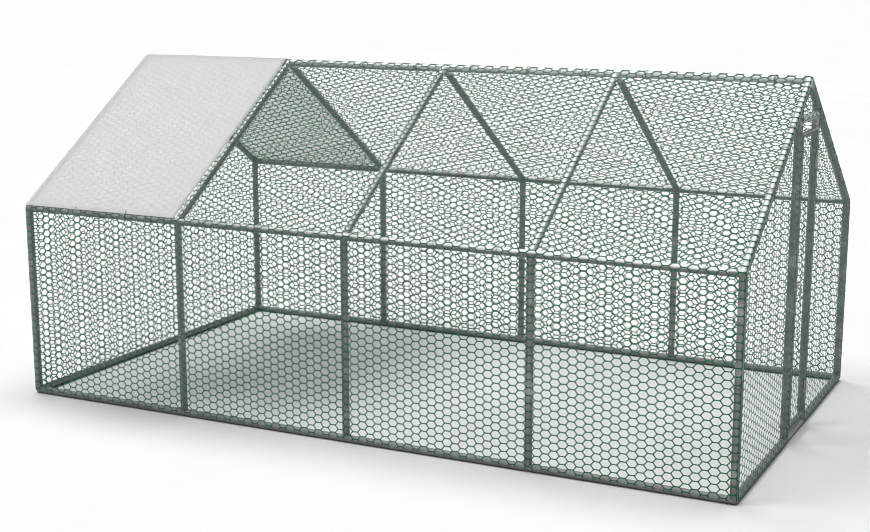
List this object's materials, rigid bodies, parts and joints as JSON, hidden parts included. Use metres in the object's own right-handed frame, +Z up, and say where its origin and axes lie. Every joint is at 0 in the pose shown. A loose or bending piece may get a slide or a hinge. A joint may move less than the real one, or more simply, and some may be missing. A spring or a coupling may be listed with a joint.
{
  "type": "chicken run",
  "caption": "Walk-in chicken run: gabled frame of steel tubes on spigot connectors, hexagonal wire netting all round, roof sheet over one end bay and a hinged net door with a bolt",
  "frame": {"origin": "centre of the run's footprint, on the ground", "axes": "+X along the run towards the door, +Y across the run, +Z up"},
  "size_m": [4.059, 2.315, 1.8452],
  "materials": {
    "tube": "galvanised steel tube, grey-green, satin",
    "connector": "galvanised steel connector, satin",
    "hardware": "zinc plated steel",
    "netting": "green coated steel wire",
    "tie": "dark green plastic",
    "cover": "pale grey coated woven sheet"
  },
  "bodies": {
    "frame": {"bottom_rail_near": "tube", "eave_rail_near": "tube", "bottom_rail_far": "tube", "eave_rail_far": "tube", "bottom_rail_rear": "tube", "bottom_rail_front": "tube", "ridge_rail": "tube", "post_near_1": "tube", "post_far_1": "tube", "post_near_2": "tube", "post_far_2": "tube", "post_near_3": "tube", "post_far_3": "tube", "post_near_4": "tube", "post_far_4": "tube", "post_near_5": "tube", "post_far_5": "tube", "rafter_near_1": "tube", "rafter_far_1": "tube", "rafter_near_2": "tube", "rafter_far_2": "tube", "rafter_near_3": "tube", "rafter_far_3": "tube", "rafter_near_4": "tube", "rafter_far_4": "tube", "rafter_near_5": "tube", "rafter_far_5": "tube", "door_post_hinge": "tube", "door_post_latch": "tube", "lintel": "tube", "bottom_corner_hubs": "connector", "bottom_tee_hubs": "connector", "eave_corner_hubs": "connector", "eave_cross_hubs": "connector", "ridge_end_hubs": "connector", "ridge_cross_hubs": "connector", "hinge_frame_wings": "hardware", "hinge_pins": "hardware", "latch_keeper": "hardware", "frame_screws": "hardware", "net_wall_near": "netting", "net_wall_far": "netting", "net_roof_near": "netting", "net_roof_far": "netting", "net_rear_gable": "netting", "net_front_gable_near": "netting", "net_front_gable_far": "netting", "net_over_door": "netting", "frame_ties": "tie", "cover": "cover"},
    "door": {"leaf_stile_hinge": "tube", "leaf_stile_latch": "tube", "leaf_top_rail": "tube", "leaf_bottom_rail": "tube", "hinge_leaf_wings": "hardware", "latch_sleeve": "hardware", "door_screws": "hardware", "net_door": "netting", "door_ties": "tie"},
    "bolt": {"latch_bolt": "hardware"}
  },
  "joints": [
    {"name": "door_hinge", "type": "hinge", "parent": "frame", "child": "door", "pos_m": [2.025, 0.167, 0.8], "axis": [0, 0, 1], "range_deg": [0, 160]},
    {"name": "bolt_slide", "type": "slide", "parent": "door", "child": "bolt", "axis": [0, -1, 0], "range_m": [0, 0.036]}
  ]
}
